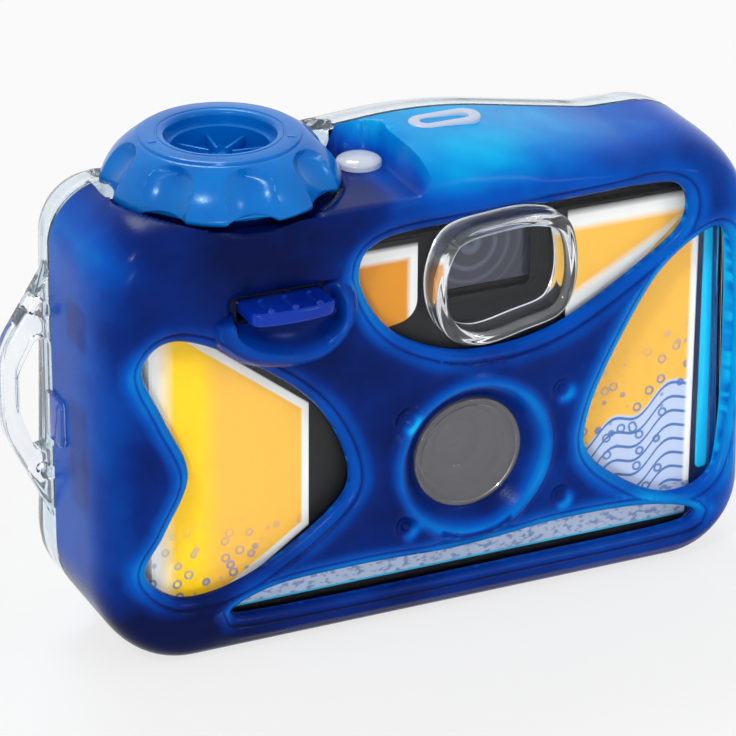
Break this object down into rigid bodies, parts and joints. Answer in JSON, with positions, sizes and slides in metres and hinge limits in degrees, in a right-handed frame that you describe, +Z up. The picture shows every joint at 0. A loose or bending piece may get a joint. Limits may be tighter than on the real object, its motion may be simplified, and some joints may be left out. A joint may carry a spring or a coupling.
{
  "type": "waterproof single-use film camera",
  "caption": "Waterproof single-use 35 mm film camera in a translucent housing with a fluted winding knob, front shutter lever, side handle and a loaded inner camera.",
  "frame": {"origin": "centre of the flat base that the housing stands on", "axes": "+X to the right seen from the front, along the longest side; -Y out of the front through the lens; +Z up"},
  "size_m": [0.1366, 0.0486, 0.0925],
  "materials": {
    "blue_cover": "frosted translucent",
    "clear_shell": "clear moulded polystyrene",
    "blue_knob": "satin",
    "blue_lever": "satin",
    "seal": "matt",
    "black_plastic": "fine texture",
    "label_card": "gloss printed",
    "lens_plastic": "polished",
    "white_plastic": "satin",
    "steel": "plated",
    "film": "gloss"
  },
  "bodies": {
    "housing": {"front_cover": "blue_cover", "window_shell": "clear_shell", "rear_shell": "clear_shell", "housing_seal": "seal", "knob_seal": "seal", "counter_lens": "lens_plastic", "lever_pin": "steel", "lever_seal": "seal", "lever_spring": "steel", "camera_frame": "black_plastic", "camera_front": "black_plastic", "camera_back": "black_plastic", "label_wrap": "label_card", "taking_lens": "lens_plastic", "lens_retainer": "black_plastic", "lens_barrel": "black_plastic", "cassette_shell": "steel", "cassette_caps": "steel", "film_strip": "film", "finder_front_lens": "lens_plastic", "finder_rear_lens": "lens_plastic"},
    "winder": {"wind_knob": "blue_knob", "knob_shaft": "white_plastic", "thumbwheel": "black_plastic", "cassette_spool": "black_plastic"},
    "film_supply": {"supply_spool": "black_plastic", "film_roll": "film"},
    "sprocket": {"film_sprocket": "white_plastic"},
    "counter": {"counter_disc": "white_plastic"},
    "lever": {"shutter_lever": "blue_lever"},
    "release": {"release_slide": "white_plastic"},
    "shutter": {"shutter_blade": "steel"},
    "striker": {"drive_lever": "white_plastic"}
  },
  "joints": [
    {"name": "knob_turn", "type": "hinge", "parent": "housing", "child": "winder", "pos_m": [-0.0332, 0, 0.09], "axis": [0, 0, 1], "continuous": true},
    {"name": "supply_turn", "type": "hinge", "parent": "housing", "child": "film_supply", "pos_m": [0.0406, 0, 0.03], "axis": [0, 0, 1], "continuous": true},
    {"name": "sprocket_turn", "type": "hinge", "parent": "housing", "child": "sprocket", "pos_m": [-0.0125, 0.0021, 0.05], "axis": [0, 0, 1], "continuous": true},
    {"name": "counter_turn", "type": "hinge", "parent": "housing", "child": "counter", "pos_m": [-0.003, 0.0022, 0.0757], "axis": [0, 0, 1], "continuous": true},
    {"name": "lever_press", "type": "hinge", "parent": "housing", "child": "lever", "pos_m": [-0.0305, -0.0146, 0.071], "axis": [1, 0, 0], "range_deg": [0, 10], "stiffness_Nm_per_rad": 0.3, "springref_deg": -5.73},
    {"name": "release_travel", "type": "slide", "parent": "housing", "child": "release", "axis": [0, 1, 0], "range_m": [0, 0.001]},
    {"name": "shutter_swing", "type": "hinge", "parent": "housing", "child": "shutter", "pos_m": [-0.0025, -0.0101, 0.0367], "axis": [0, 1, 0], "range_deg": [0, 30], "stiffness_Nm_per_rad": 0.002, "springref_deg": -5.73},
    {"name": "striker_swing", "type": "hinge", "parent": "housing", "child": "striker", "pos_m": [-0.008, -0.006, 0.0578], "axis": [0, 0, 1], "range_deg": [0, 20], "stiffness_Nm_per_rad": 0.002, "springref_deg": -5.73}
  ],
  "couplings": [
    {"joint": "supply_turn", "follows": "knob_turn", "ratio": 0.8939},
    {"joint": "sprocket_turn", "follows": "knob_turn", "ratio": 1.3228},
    {"joint": "counter_turn", "follows": "knob_turn", "ratio": 0.0472},
    {"joint": "release_travel", "follows": "lever_press", "m_per_rad": 0.0052}
  ]
}
